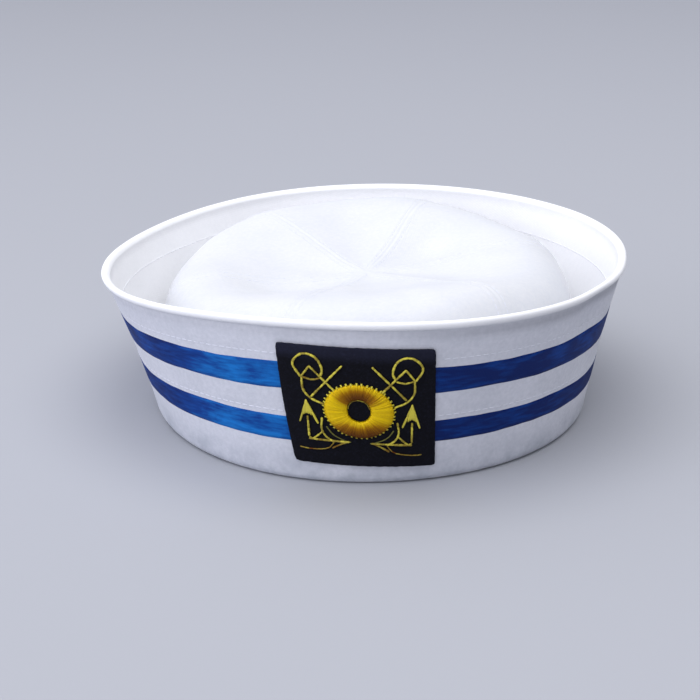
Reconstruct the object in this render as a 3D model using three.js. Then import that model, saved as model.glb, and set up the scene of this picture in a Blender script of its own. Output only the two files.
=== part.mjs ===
// Sailor hat: a soft six-gore crown standing inside a tall turned-up brim, with two
// ribbon stripes round the brim and an embroidered patch on its front.
// Millimetres, +Z up, front towards -Y. The hat rests on the flat hem under the brim.
//
// Places on the hat are given by an angle round the head (0 at the front, 90 at +X), a
// height up the brim, and a distance out from the brim's outer face.

import * as THREE from 'three';
import { mergeVertices } from 'three/addons/utils/BufferGeometryUtils.js';

// Cloth thicknesses, and the gap left between pieces that are sewn together
const BRIM_CLOTH = 2.2;
const CROWN_CLOTH = 1.6;
const RIBBON_CLOTH = 1.0;
const PATCH_CLOTH = 1.2;
const GAP = 0.3;

// Turned-up brim: half sizes of the outer face at its base and rim
const BRIM_HEIGHT = 64;
const BASE_OVAL = { halfWidth: 92, halfDepth: 102, shiftX: 0, shiftY: 0 };
const RIM_OVAL = { halfWidth: 110, halfDepth: 113.5, shiftX: -1.9, shiftY: -1 };
// Share of the flare by which the wall hangs inside a straight line from base to rim
const BRIM_HOLLOW = 0.34;
// The oval is uneven, as soft cloth is: each row is a wave of so many lobes, in percent
const OVAL_WAVES = [
  { lobes: 2, baseCos: 0, baseSin: 0, rimCos: 0, rimSin: 0.8 },
  { lobes: 3, baseCos: 0, baseSin: -0.6, rimCos: 0.5, rimSin: 0.4 },
  { lobes: 4, baseCos: -0.3, baseSin: -0.3, rimCos: -0.4, rimSin: 1.4 },
];
// The rim rises and falls by these waves, in millimetres
const RIM_WAVES = [
  { lobes: 1, cos: 2.5, sin: 3.5 },
  { lobes: 2, cos: 2.4, sin: -0.5 },
];

// Rounded fold at the foot of the brim, and the hem turned in under the crown
const FOLD_RADIUS = 3;
const HEM_REACH = 7.6;
const HEM_THICKNESS = 2;
const HEM_EDGE_RADIUS = 1;
// Rolled rim: radius of the roll and how far it stands out of the brim's outer face
const ROLL_RADIUS = 1.7;
const ROLL_OVERHANG = 0.9;
const OUTER_ROWS = 7;
const INNER_ROWS = 4;

// Crown: the outside stands this far inside the brim's outer face at its foot
const CROWN_INSET = 4.4;
const CROWN_FOOT = HEM_THICKNESS + GAP;
const CROWN_HEIGHT = 67;
const CROWN_LEAN = { x: -1.5, y: 1.3 };
// How square the shoulder is: 2 is an ellipse, higher is boxier
const CROWN_SQUARENESS = 6.5;
const CROWN_SINK = 14;
// Shoulder height in millimetres and plan in percent vary round the crown
const CROWN_WAVES = [
  { lobes: 1, heightCos: 0.5, heightSin: 6.3, planCos: 0, planSin: -1.8 },
  { lobes: 2, heightCos: 4.2, heightSin: 2, planCos: 0.7, planSin: 2 },
];
const CROWN_ROWS = 11;
// Six gores meet at the middle: the seams stand up and the cloth sags between them
const GORES = 6;
const FIRST_SEAM = -20;
const SEAM_RISE = 0.7;
const SEAM_SHARPNESS = 12;
const GORE_SAG = 1.6;
// The relief fades in over this share of the way from the middle to the side
const RELIEF_START = 0.4;
// Soft dents pressed into the top of the crown
const CROWN_DENTS = [
  { angle: -72, radius: 42, spread: 15, depth: 3.0 },
  { angle: 45, radius: 58, spread: 15, depth: 3.5 },
  { angle: 137, radius: 38, spread: 12, depth: 2.5 },
];

// Ribbon stripes round the brim, from one side of the patch to the other. On the right
// their lower and upper edges lie lower by the drops.
const STRIPES = [
  {
    name: 'stripe_upper', low: 36.8, high: 47.2, lowDrop: 0.8, highDrop: 1.2, slant: 0.3,
    from: 16.1, to: 343.6,
  },
  {
    name: 'stripe_lower', low: 16.1, high: 25.7, lowDrop: -0.2, highDrop: 1, slant: 0.6,
    from: 16.9, to: 344.1,
  },
];
// The drops fade out round the back, between these angles
const DROP_FADE = { from: 100, to: 260 };

// Patch corners on the brim
const PATCH = {
  bottomLeft: { angle: -15.1, height: 8.7 },
  bottomRight: { angle: 17.1, height: 6.7 },
  topLeft: { angle: -16.3, height: 55.3 },
  topRight: { angle: 15, height: 53.5 },
};
// Raised ring embroidered on the patch, a little wider than tall
const RING = {
  angle: -0.3, height: 30, radius: 13.2, holeRadius: 4.4, squash: 0.886, edge: 0.5, rise: 1.5,
};

const ROUND_STEPS = 84;
const RING_STEPS = 36;
const PATCH_STEPS = { across: 14, up: 7 };
const ARC_STEPS = 2;
const MERGE_DISTANCE = 1e-3;

const CLOTH_WHITE = new THREE.MeshStandardMaterial({ color: 0xf3f5fa, roughness: 0.9, metalness: 0 });
const BRIM_WHITE = new THREE.MeshStandardMaterial({ color: 0xe6eaf4, roughness: 0.9, metalness: 0 });
const RIBBON_BLUE = new THREE.MeshStandardMaterial({ color: 0x1d58ab, roughness: 0.55, metalness: 0 });
const PATCH_NAVY = new THREE.MeshStandardMaterial({ color: 0x15161f, roughness: 0.95, metalness: 0 });
const THREAD_GOLD = new THREE.MeshStandardMaterial({ color: 0xd9b422, roughness: 0.45, metalness: 0.1 });

function radians(degrees) {
  return THREE.MathUtils.degToRad(degrees);
}

// Sum of the rows' waves at an angle
function waves(rows, cosColumn, sinColumn, angle) {
  let sum = 0;
  for (const row of rows) {
    sum += row[cosColumn] * Math.cos(row.lobes * angle);
    sum += row[sinColumn] * Math.sin(row.lobes * angle);
  }
  return sum;
}

function ovalPoint(oval, cosColumn, sinColumn, angle) {
  const stretch = 1 + waves(OVAL_WAVES, cosColumn, sinColumn, angle) / 100;
  return new THREE.Vector2(
    oval.halfWidth * Math.sin(angle) * stretch + oval.shiftX,
    -oval.halfDepth * Math.cos(angle) * stretch + oval.shiftY,
  );
}

function basePoint(angle) {
  return ovalPoint(BASE_OVAL, 'baseCos', 'baseSin', angle);
}

function rimPoint(angle) {
  return ovalPoint(RIM_OVAL, 'rimCos', 'rimSin', angle);
}

// Level direction straight out of the base oval
function outward(angle) {
  const step = 1e-4;
  const along = basePoint(angle + step).sub(basePoint(angle - step)).normalize();
  return new THREE.Vector2(along.y, -along.x);
}

// A place on the brim: round by an angle, up by a height, out from the outer face
function brimPoint(angle, height, out) {
  const share = height / BRIM_HEIGHT;
  const flare = share - BRIM_HOLLOW * share * (1 - share);
  const level = basePoint(angle).lerp(rimPoint(angle), flare).addScaledVector(outward(angle), out);
  const rise = 1 + waves(RIM_WAVES, 'cos', 'sin', angle) / BRIM_HEIGHT;
  return new THREE.Vector3(level.x, level.y, height * rise);
}

function dentDepth(x, y) {
  let depth = 0;
  for (const dent of CROWN_DENTS) {
    const awayX = x - dent.radius * Math.sin(radians(dent.angle));
    const awayY = y + dent.radius * Math.cos(radians(dent.angle));
    depth += dent.depth * Math.exp(-(awayX ** 2 + awayY ** 2) / (2 * dent.spread ** 2));
  }
  return depth;
}

// Rise of the seams and sag of the gores, none at the middle and at the foot
function goreRelief(angle, reach, lift) {
  const swing = Math.cos((GORES / 2) * (angle - radians(FIRST_SEAM)));
  const spread = Math.min(1, reach / RELIEF_START) * lift;
  return (SEAM_RISE * swing ** SEAM_SHARPNESS - GORE_SAG * (1 - swing ** 2)) * spread;
}

// A place on the crown: reach 0 at the middle to 1 at the side, lift 0 at the foot to 1 on top
function crownPoint(angle, reach, lift, inset) {
  const plan = 1 + (lift * waves(CROWN_WAVES, 'planCos', 'planSin', angle)) / 100;
  const side = basePoint(angle).addScaledVector(outward(angle), -CROWN_INSET - inset);
  const level = side.multiplyScalar(reach * plan);
  level.add(new THREE.Vector2(CROWN_LEAN.x, CROWN_LEAN.y).multiplyScalar(lift));
  const shoulder = CROWN_HEIGHT + reach * waves(CROWN_WAVES, 'heightCos', 'heightSin', angle);
  const sink = CROWN_SINK * (1 - reach ** 2) ** 2 + dentDepth(level.x, level.y) * lift;
  const top = CROWN_FOOT + (shoulder - inset - CROWN_FOOT) * lift;
  return new THREE.Vector3(level.x, level.y, top - sink + goreRelief(angle, reach, lift));
}

// Moves every vertex to the point that place gives for it, and closes the seams
function shaped(geometry, place) {
  geometry.deleteAttribute('uv');
  geometry.deleteAttribute('normal');
  const position = geometry.getAttribute('position');
  for (let i = 0; i < position.count; i += 1) {
    const point = place(position.getX(i), position.getY(i), position.getZ(i));
    position.setXYZ(i, point.x, point.y, point.z);
  }
  const closed = mergeVertices(geometry, MERGE_DISTANCE);
  closed.computeVertexNormals();
  return closed;
}

function piece(name, geometry, material) {
  const mesh = new THREE.Mesh(geometry, material);
  mesh.name = name;
  return mesh;
}

// Section of the brim: out from the outer face against height, drawn round the wall
function brimSection() {
  const rollCentre = { out: ROLL_OVERHANG - ROLL_RADIUS, height: BRIM_HEIGHT - ROLL_RADIUS };
  const outerMeet = -Math.acos(-rollCentre.out / ROLL_RADIUS);
  const innerMeet = Math.PI + Math.acos((BRIM_CLOTH + rollCentre.out) / ROLL_RADIUS);
  const hemEnd = -HEM_REACH + HEM_EDGE_RADIUS;
  const section = new THREE.Path();
  section.moveTo(hemEnd, 0);
  section.lineTo(-FOLD_RADIUS, 0);
  section.absarc(-FOLD_RADIUS, FOLD_RADIUS, FOLD_RADIUS, -Math.PI / 2, 0, false);
  const wallHeight = BRIM_HEIGHT - FOLD_RADIUS - 2 * ROLL_RADIUS;
  for (let row = 1; row < OUTER_ROWS; row += 1) {
    section.lineTo(0, FOLD_RADIUS + (row / OUTER_ROWS) * wallHeight);
  }
  section.absarc(rollCentre.out, rollCentre.height, ROLL_RADIUS, outerMeet, Math.PI / 2, false);
  section.absarc(rollCentre.out, rollCentre.height, ROLL_RADIUS, Math.PI / 2, innerMeet, false);
  for (let row = INNER_ROWS - 1; row > 0; row -= 1) {
    section.lineTo(-BRIM_CLOTH, FOLD_RADIUS + (row / INNER_ROWS) * wallHeight);
  }
  section.lineTo(-BRIM_CLOTH, HEM_THICKNESS);
  section.lineTo(hemEnd, HEM_THICKNESS);
  section.absarc(hemEnd, HEM_EDGE_RADIUS, HEM_EDGE_RADIUS, Math.PI / 2, (3 * Math.PI) / 2, false);
  return section.getPoints(ARC_STEPS);
}

// A lathed ring, with its section at a nominal radius, is laid round the uneven brim
function makeBrim() {
  const nominal = BASE_OVAL.halfWidth;
  const points = brimSection().map((point) => new THREE.Vector2(nominal + point.x, point.y));
  const ring = new THREE.LatheGeometry(points, ROUND_STEPS);
  const place = (x, y, z) => brimPoint(Math.atan2(x, z), y, Math.hypot(x, z) - nominal);
  return piece('brim', shaped(ring, place), BRIM_WHITE);
}

// Profile of the crown from its foot to its middle, as reach against lift
class CrownProfile extends THREE.Curve {
  getPoint(share) {
    const turn = (share * Math.PI) / 2;
    const power = 2 / CROWN_SQUARENESS;
    return new THREE.Vector2(
      share === 1 ? 0 : Math.cos(turn) ** power,
      Math.sin(turn) ** power,
    );
  }
}

// The lathe's radius holds the reach, and its height holds the lift, one higher outside
function makeCrown() {
  const outside = new CrownProfile().getSpacedPoints(CROWN_ROWS);
  const outsideLift = 2;
  const inside = outside.map((point) => point.clone()).reverse();
  const up = outside.map((point) => new THREE.Vector2(point.x, point.y + outsideLift));
  const shell = new THREE.LatheGeometry([...inside, ...up], ROUND_STEPS);
  const place = (x, y, z) => {
    const isOutside = y >= outsideLift;
    const lift = isOutside ? y - outsideLift : y;
    return crownPoint(Math.atan2(x, z), Math.hypot(x, z), lift, isOutside ? 0 : CROWN_CLOTH);
  };
  return piece('crown', shaped(shell, place), CLOTH_WHITE);
}

// A flat ribbon section is drawn out along the angle and bent round the brim
function makeStripe(stripe) {
  const section = new THREE.Shape();
  section.moveTo(GAP, stripe.low);
  section.lineTo(GAP + RIBBON_CLOTH, stripe.low);
  section.lineTo(GAP + RIBBON_CLOTH, stripe.high);
  section.lineTo(GAP, stripe.high);
  section.closePath();
  const turn = stripe.to - stripe.from;
  const steps = Math.round((ROUND_STEPS * turn) / 360);
  const ribbon = new THREE.ExtrudeGeometry(section, { depth: turn, steps, bevelEnabled: false });
  const place = (x, y, z) => {
    const degrees = stripe.to - z;
    const angle = radians(degrees);
    const share = (y - stripe.low) / (stripe.high - stripe.low);
    const fade = 1 - THREE.MathUtils.smoothstep(degrees, DROP_FADE.from, DROP_FADE.to);
    const drop = THREE.MathUtils.lerp(stripe.lowDrop, stripe.highDrop, share) * fade;
    return brimPoint(angle, y - drop - stripe.slant * Math.sin(angle), x);
  };
  return piece(stripe.name, shaped(ribbon, place), RIBBON_BLUE);
}

// Blends the four patch corners, across and up running from 0 to 1
function patchPoint(across, up, out) {
  const blend = (column) => THREE.MathUtils.lerp(
    THREE.MathUtils.lerp(PATCH.bottomLeft[column], PATCH.bottomRight[column], across),
    THREE.MathUtils.lerp(PATCH.topLeft[column], PATCH.topRight[column], across),
    up,
  );
  return brimPoint(radians(blend('angle')), blend('height'), out);
}

function makePatch() {
  const plate = new THREE.BoxGeometry(1, 1, 1, PATCH_STEPS.across, PATCH_STEPS.up);
  const place = (x, y, z) => patchPoint(x + 0.5, y + 0.5, GAP + (z + 0.5) * PATCH_CLOTH);
  return piece('badge_patch', shaped(plate, place), PATCH_NAVY);
}

// Section of the ring: flat back, low edges and a rounded face
function ringSection() {
  const middle = (RING.radius + RING.holeRadius) / 2;
  const half = (RING.radius - RING.holeRadius) / 2;
  const section = new THREE.Path();
  section.moveTo(RING.holeRadius, 0);
  section.lineTo(middle, 0);
  section.lineTo(RING.radius, 0);
  section.absellipse(middle, RING.edge, half, RING.rise - RING.edge, 0, Math.PI, false, 0);
  section.lineTo(RING.holeRadius, 0);
  return section.getPoints(ARC_STEPS + 1);
}

// The ring is laid on the face of the patch, with its size kept along the cloth
function makeRing() {
  const seat = GAP + PATCH_CLOTH + GAP;
  const angle = radians(RING.angle);
  const here = brimPoint(angle, RING.height, seat);
  const angleStep = 0.01;
  const aside = brimPoint(angle + angleStep, RING.height, seat);
  const above = brimPoint(angle, RING.height + 1, seat);
  const anglePerMm = angleStep / here.distanceTo(aside);
  const heightPerMm = 1 / here.distanceTo(above);
  const ring = new THREE.LatheGeometry(ringSection(), RING_STEPS);
  const risePerMm = RING.squash * heightPerMm;
  const place = (x, y, z) => brimPoint(angle + x * anglePerMm, RING.height - z * risePerMm, seat + y);
  return piece('badge_ring', shaped(ring, place), THREAD_GOLD);
}

const hat = new THREE.Group();
hat.add(makeCrown(), makeBrim());
hat.add(...STRIPES.map(makeStripe));
hat.add(makePatch(), makeRing());

// The origin is under the middle of the hat
const middle = new THREE.Box3().setFromObject(hat).getCenter(new THREE.Vector3());
hat.position.set(-middle.x, -middle.y, 0);
hat.updateMatrixWorld(true);

export default hat;
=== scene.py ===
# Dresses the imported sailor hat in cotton, ribbon, felt and thread, and sets its stage.
# Places on the hat are in millimetres: an angle round the head (0 at the front, 90 degrees at
# +X), a height up the brim, and a distance out of the cloth. on_hat() turns them into metres.

import math
import random
from collections import namedtuple
from functools import partial

import bmesh
import bpy
from mathutils import Matrix, Vector, noise


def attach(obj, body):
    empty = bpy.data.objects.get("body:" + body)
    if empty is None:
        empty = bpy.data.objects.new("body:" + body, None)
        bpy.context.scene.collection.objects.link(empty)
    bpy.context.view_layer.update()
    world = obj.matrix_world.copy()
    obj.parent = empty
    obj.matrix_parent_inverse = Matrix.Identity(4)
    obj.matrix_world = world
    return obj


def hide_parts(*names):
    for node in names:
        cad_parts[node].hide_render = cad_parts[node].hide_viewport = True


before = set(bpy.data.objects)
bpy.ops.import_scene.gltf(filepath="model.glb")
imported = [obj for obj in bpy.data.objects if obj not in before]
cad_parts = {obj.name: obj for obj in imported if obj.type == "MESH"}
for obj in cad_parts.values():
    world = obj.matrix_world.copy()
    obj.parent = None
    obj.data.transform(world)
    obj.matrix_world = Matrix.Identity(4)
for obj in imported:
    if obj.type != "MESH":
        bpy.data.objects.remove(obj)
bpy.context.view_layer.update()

bl_info = {
    "name": "Sailor Hat",
    "version": (1, 0, 0),
    "blender": (4, 5, 0),
    "location": "3D View > Sidebar > Sailor Hat",
    "description": "Dresses a sailor hat in cotton, ribbon, felt and thread",
    "category": "Object",
}

MM = 0.001
# Brings the middle of the hat over the origin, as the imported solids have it
CENTRING = Vector((2.186, 1.603, 0.0))

Wave = namedtuple("Wave", "lobes cos sin")
Oval = namedtuple("Oval", "half_width half_depth shift_x shift_y waves")
Dent = namedtuple("Dent", "angle place spread depth")
Stripe = namedtuple("Stripe", "name replaces low high low_drop high_drop slant start end seed")
Row = namedtuple("Row", "height drop slant")
Corner = namedtuple("Corner", "angle height")
Stroke = namedtuple("Stroke", "width shade points")
Ripple = namedtuple("Ripple", "share wavelength seed")
Lamp = namedtuple("Lamp", "name place size power colour")

# Radius that turns an angle round the hat into millimetres of cloth
HEAD_RADIUS = 100.0

# Outer face of the brim at its base and rim, with waves in percent of the oval. The rim also rises
# and falls, by waves in millimetres, and the wall is hollow between foot and rim.
BRIM_HEIGHT = 64.0
BRIM_CLOTH = 2.2
BASE_OVAL = Oval(92.0, 102.0, 0.0, 0.0, (Wave(3, 0.0, -0.6), Wave(4, -0.3, -0.3)))
RIM_OVAL = Oval(
    110.0, 113.5, -1.9, -1.0, (Wave(2, 0.0, 0.8), Wave(3, 0.5, 0.4), Wave(4, -0.4, 1.4))
)
RIM_WAVES = (Wave(1, 2.5, 3.5), Wave(2, 2.4, -0.5))
BRIM_HOLLOW = 0.34

# Section of the brim: hem, fold at the foot, and the rolled rim, which hangs out over the wall. The
# roll starts some degrees on from the wall, and the hem's inner corner is cut off.
FOLD_RADIUS = 3.0
HEM_REACH = 7.6
HEM_THICKNESS = 2.0
ROLL_RADIUS = 1.7
ROLL_OVERHANG = 0.9
ROLL_START = 12.0
HEM_CORNER = 1.0
GROOVE_BELOW_ROLL = 0.4
GROOVE_SPREAD = 2.0
# Rows of faces up the wall's outer and inner face, and steps round the brim
WALL_ROWS = 44
INNER_ROWS = 22
BRIM_STEPS = 560
# A painted shade greys the outer wall under the roll, at this height, by a share and over a spread,
# each first on the left and then on the right
UNDER_ROLL_SHADE_HEIGHT = 58.9
UNDER_ROLL_SHADE_SHARE = (0.18, 0.44)
UNDER_ROLL_SHADE_SPREAD = (1.9, 2.7)

# Crown: its plan inside the brim, its height, and how these vary round it
CROWN_INSET = 4.4
CROWN_CLOTH = 1.6
CROWN_FOOT = 2.3
CROWN_HEIGHT = 67.0
CROWN_LEAN = Vector((-1.5, 1.3, 0.0))
CROWN_SQUARENESS = 6.5
CROWN_SINK = 14.0
CROWN_SHOULDER_WAVES = (Wave(1, 0.5, 6.3), Wave(2, 4.2, 2.0))
CROWN_PLAN_WAVES = (Wave(1, 0.0, -1.8), Wave(2, 0.7, 2.0))
# The gores sag between their seams, less and less within a share of the way to the middle
GORES = 6
FIRST_SEAM = math.radians(-20)
GORE_SAG = 1.6
SAG_START = 0.4
CROWN_ROWS = 66
CROWN_STEPS = 336
# How much the crown's mesh crowds towards its seams
SEAM_CROWDING = 0.7
# The crown's cloth laid flat, from its middle to the shoulder and down its side
FLAT_TOP = 94.0
FLAT_SIDE = 64.0
# A seam fades in between these radii, and its turnings end between these distances from it. On each
# side a row of stitches pulls in the cloth. It starts at a radius and ends at a share of the climb.
SEAM_FADE = (2, 9)
SEAM_PAD_EDGE = (3.2, 5.2)
SEAM_LINE_SPREAD = 0.7
SEAM_ROW_AWAY = 2.6
SEAM_ROW_DEPTH = 0.18
SEAM_ROW_SPREAD = 0.6
SEAM_ROW_START = 6.0
SEAM_ROW_END = 0.92
SEAM_ROW_STEPS = 95
# Gathers beside a seam, along its run down the crown: millimetres to a radian, how many radians
# they sway over how long a wave, and over how long a wave they grow and fade
PUCKER_TOP = 90.0
PUCKER_PITCH = 1.25
PUCKER_SWAY = 2.2
PUCKER_SWAY_WAVE = 14.0
PUCKER_FADE_WAVE = 22.0
PUCKER_AWAY = 3.0
PUCKER_SPREAD = 5.0
# Slack of the crown's cloth: a slow wave, and a quick one as a share of it
SLACK_WAVE = 34.0
QUICK_WAVE = 12.0
QUICK_SHARE = 0.3
CROWN_DENTS = (
    Dent(-72, 42, 15, 3.0),
    Dent(45, 58, 15, 3.5),
    Dent(137, 38, 12, 2.5),
)
# Shallow dents in the brim's wall, wider than tall by the stretch; their place is a height
DENT_STRETCH = 1.5
WALL_DENTS = (
    Dent(58, 54, 8, 2.6),
    Dent(-38, 22, 12, 0.7),
    Dent(118, 34, 16, 1.0),
    Dent(-128, 40, 16, 1.1),
    Dent(178, 30, 18, 0.9),
)
# Slow waves of the wall, as shares of its ripple. They grow between two heights and, from a share
# of themselves, between two angles in degrees from the front, beside the patch.
WALL_RIPPLES = (Ripple(1.0, 62, 2.0), Ripple(0.35, 21, 7.0))
STILL_FOOT = (3, 16)
STILL_PATCH = (14, 24)
STILL_PATCH_SHARE = 0.15
# Gathers along a row of topstitching, and the line that it pulls in
GATHER_LENGTH = 6.5
GATHER_SPREAD = 3.0
ROW_LINE = 0.8
ROW_LINE_SPREAD = 0.9

# On the right a stripe's lower and upper edges lie lower by its drops, which fade out round the
# back between these angles
STRIPES = (
    Stripe("ribbon_upper", "stripe_upper", 36.8, 47.2, 0.8, 1.2, 0.3, 14.6, 345.2, 3),
    Stripe("ribbon_lower", "stripe_lower", 16.1, 25.7, -0.2, 1.0, 0.6, 15.4, 345.6, 11),
)
DROP_FADE = (math.radians(100), math.radians(260))
# Half a ribbon's flat length, and how far it lies off the wall: at its edges, and more in the middle
RIBBON_HALF_LENGTH = 280.0
RIBBON_LIFT = 0.04
RIBBON_BOW = 0.14
# Its edges waver in a slow wave, and in a quick one as a share of it
WAVER_WAVE = 26.0
QUICK_WAVER_WAVE = 7.0
QUICK_WAVER_SHARE = 0.6
# Rows of topstitching on the brim, each a little above its stripe and following its top edge, and
# the degrees that they cover on each face
BRIM_ROWS = (Row(50.4, 1.2, 0.3), Row(27.6, 1.0, 0.6))
OUTER_ROW = range(17, 345)
INNER_ROW = range(18, 343)

# Patch corners on the brim, and the size of the patch that its own places are measured in
PATCH_LOW_LEFT = Corner(-15.1, 8.7)
PATCH_LOW_RIGHT = Corner(17.1, 6.7)
PATCH_TOP_LEFT = Corner(-16.3, 55.3)
PATCH_TOP_RIGHT = Corner(15.0, 53.5)
PATCH_WIDTH = 55.5
PATCH_TALL = 51.0
PATCH_FACE = 1.45
PATCH_THICKNESS = 1.15
PATCH_ROUNDING = 0.3
# How rough the cut edge is and how many grains lie across and up the patch, how far its corners are
# cut back, and how far the face bows down at the edge and how wide that is
PATCH_ROUGHNESS = 0.16
GRAINS_ACROSS = 26
GRAINS_UP = 24
GRAIN_SEEDS = (1.0, 21.0, 41.0)
PATCH_CORNER = 0.3
PATCH_BOW = 0.28
PATCH_BOW_SPREAD = 0.8
# How far the patch's left edge lies out at its foot, how much more at its top, and how far it bows
PATCH_SIDE_FOOT = 0.3
PATCH_SIDE_TOP = 0.5
PATCH_SIDE_BOW = 1.2
# The embroidery's middle, as shares of the patch across and up
MOTIF_ACROSS = 0.485
MOTIF_UP = 0.466

# The ring's outer radius and its height over the patch
RING_OUTER = 13.2
RING_RISE = 1.6
# The ring's hole reaches less far to the sides than up and down
HOLE_SIDE = 4.1
HOLE_TOP = 5.5
HOLE_BOTTOM = 4.8
# Angles of the stitches along the top of the hole
HOLE_EDGE = range(15, 166, 6)
# The ring is a little wider than tall, and is sewn a little above the middle of the motif
RING_SQUASH = 0.886
RING_LIFT = 0.6
SATIN_STITCHES = 132
SATIN_WIDTH = 0.74
SATIN_HEIGHT = 0.55
# Short stitches that catch the ring's outer edge down
CATCH_STITCHES = 44
CATCH_LENGTH = 0.9
CATCH_WIDTH = 0.8
CATCH_HEIGHT = 0.7
CATCH_LIFT = 0.1
# The padding stays inside the stitches, at the hole and at the outer edge, and reaches down into
# the patch
PADDING_FROM_HOLE = 0.1
PADDING_FROM_EDGE = 0.3
PADDING_STEPS = 10
PADDING_TURNS = 96
PADDING_SINK = 0.1

# Left half of the crossed anchors, in millimetres from the middle of the motif. A stroke's shade
# is how dull its thread is.
ANCHOR_LINES = (
    Stroke(
        1.0,
        0.05,
        (
            *((-20.6, 14.0), (-23.1, 19.0), (-20.6, 23.0), (-17.1, 24.0)),
            *((-13.9, 22.0), (-12.4, 17.5), (-13.4, 14.5)),
        ),
    ),
    Stroke(0.85, 0.25, ((-20.2, 14.0), (-16.7, 13.0), (-13.3, 14.0))),
    Stroke(0.95, 0.1, ((-20.2, 14.0), (-20.2, 8.5), (-17.5, 4.9), (-12.8, 2.8))),
    Stroke(0.95, 0.1, ((-19.5, -3.0), (-19.5, -12.0))),
    Stroke(0.8, 0.2, ((-19.5, -12.0), (-18.0, -12.6), (-14.0, -9.0))),
    Stroke(0.95, 0.1, ((-14.0, -3.2), (-14.5, -8.0), (-13.0, -11.2), (-10.2, -13.2))),
    Stroke(0.5, 0.6, ((-23.4, -16.8), (-20.0, -17.2), (-15.0, -16.9), (-12.0, -15.9), (-10.0, -13.4))),
    Stroke(0.95, 0.25, ((-19.5, -12.7), (-14.5, -12.8), (-10.0, -12.9), (-4.0, -13.0))),
    Stroke(0.8, 0.4, ((-10.8, -16.0), (-7.8, -14.3), (-5.2, -13.1))),
)
# Straight runs with a corner between them, which lie a little higher than the lines
LINE_LIFT = 0.3
RUN_LIFT = 0.4
ANCHOR_RUNS = (
    Stroke(0.95, 0.1, ((-20.4, 14.0), (-17.0, 18.8))),
    Stroke(0.95, 0.15, ((-17.0, 18.8), (-8.4, 8.6))),
    Stroke(0.95, 0.05, ((-17.3, 5.8), (-5.3, 19.8))),
)
FLUKE_TIP = (-19.5, 3.6)
FLUKE_BARBS = ((-22.5, -5.4), (-15.7, -5.6))
FLUKE_FILLING = ((-20.9, -2.0), (-20.2, -1.6), (-19.5, -1.4), (-18.8, -1.6), (-18.0, -2.0))
ROPE_LINE = ((-12.6, -6.8), (-10.2, -10.2), (-5.8, -12.6), (-3.6, -13.1))
# The motif leans to the right as it goes up. Its right half droops, from 7 mm above the middle to
# fully 4 mm below it.
MOTIF_LEAN = 0.042
MOTIF_DROOP = 0.065
DROOP_SPAN = (-7, 4)
# Embroidery stitches overlap by a share of their length, sway sideways, and are flattened
STITCH_OVERLAP = 0.1
STITCH_SWAY = 0.07
STITCH_FLATNESS = 0.92

# Stage, in metres. The lamps point at the middle of the hat, and the soft light all round is
# brightest from above and the left.
LAMPS = (
    Lamp("overhead_panel", (0.02, -0.2, 1.6), 2.2, 18.0, "#FFFFFF"),
    Lamp("fill_light", (-1.5, -0.7, 0.5), 1.0, 5.5, "#EBEEFF"),
)
LAMP_AIM = (0, 0, 0.03)
SKY_BRIGHTEST = (-0.6, -0.25, 0.76)
SKY_COLOUR = "#EAECF7"
FLOOR_SIZE = 6.0
FLOOR_DROP = 0.05 * MM

# Colours of the finishes that no setting holds
CROWN_CLOUD = "#C9CED8"
# Colour of the painted shade under the rolled rim
UNDER_ROLL_SHADE_GREY = "#6E7078"
# Loose fibre, and the painted highlight along the patch's top edge
FELT_LINT_AND_HIGHLIGHT = "#33354A"
FELT_SHEEN = "#6A70A0"
PADDING_SHADE = "#5A3408"
ROPE_SHADE = "#22240F"
THREAD_SHADE = "#C8CBD6"
INNER_SHADE = "#ECEEF4"
FLOOR_CLOUD = (0.5, 0.5, 0.52)


def linear(hex_colour):
    """Linear red, green and blue of an sRGB hex colour."""
    shares = [int(hex_colour[i : i + 2], 16) / 255 for i in (1, 3, 5)]
    return tuple(c / 12.92 if c <= 0.04045 else ((c + 0.055) / 1.055) ** 2.4 for c in shares)


def solid(colour):
    """A colour with full opacity, as a node's colour socket takes it."""
    return (*colour, 1.0)


# Settings


def length_setting(name, description, millimetres):
    return bpy.props.FloatProperty(
        name=name, description=description, default=millimetres * MM, min=0.0, unit="LENGTH", precision=5
    )


def colour_setting(name, description, hex_colour):
    return bpy.props.FloatVectorProperty(
        name=name,
        description=description,
        default=linear(hex_colour),
        min=0.0,
        max=1.0,
        size=3,
        subtype="COLOR",
    )


def angle_setting(name, description, degrees):
    return bpy.props.FloatProperty(
        name=name, description=description, default=math.radians(degrees), subtype="ANGLE"
    )


class HatCrownSettings(bpy.types.PropertyGroup):
    colour: colour_setting("Colour", "Bleached cotton of the crown", "#E0E1E3")
    seam_groove: length_setting("Seam Groove", "Depth of the line where two gores meet", 0.2)
    seam_pad: length_setting("Seam Pad", "Height of the seam turnings under the cloth", 0.16)
    pucker: length_setting("Pucker", "Height of the gathers beside the seams", 0.14)
    slack: length_setting("Slack", "Height of the slow waves in the cloth", 1.0)


class HatBrimSettings(bpy.types.PropertyGroup):
    # One cloth: the greyer outside colour is painted shade, the whiter inside colour painted light, also on
    # the roll
    colour: colour_setting("Colour", "Bleached cotton of the brim's outside, greyed by handling", "#DEDFE7")
    painted_lit_inner_colour: colour_setting("Inner Colour", "Bleached cotton of the brim's inside, as new", "#FDFDFE")
    soil_colour: colour_setting("Soil Colour", "Grey handling marks near the foot", "#A9AFB9")
    ripple: length_setting("Ripple", "Height of the slow waves in the wall", 0.55)
    pucker: length_setting("Pucker", "Height of the gathers beside the topstitching", 0.12)
    groove: length_setting("Groove", "Depth of the line under the rolled rim", 0.6)


class HatRibbonSettings(bpy.types.PropertyGroup):
    deep: colour_setting("Deep Colour", "Dye where it took most", "#042160")
    colour: colour_setting("Colour", "Main colour of the dye", "#063E8E")
    light: colour_setting("Light Colour", "Dye where it took least", "#1676C8")
    waver: length_setting("Waver", "How far the edges stray from a straight line", 0.35)
    thickness: length_setting("Thickness", "Thickness of the ribbon", 0.4)


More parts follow.
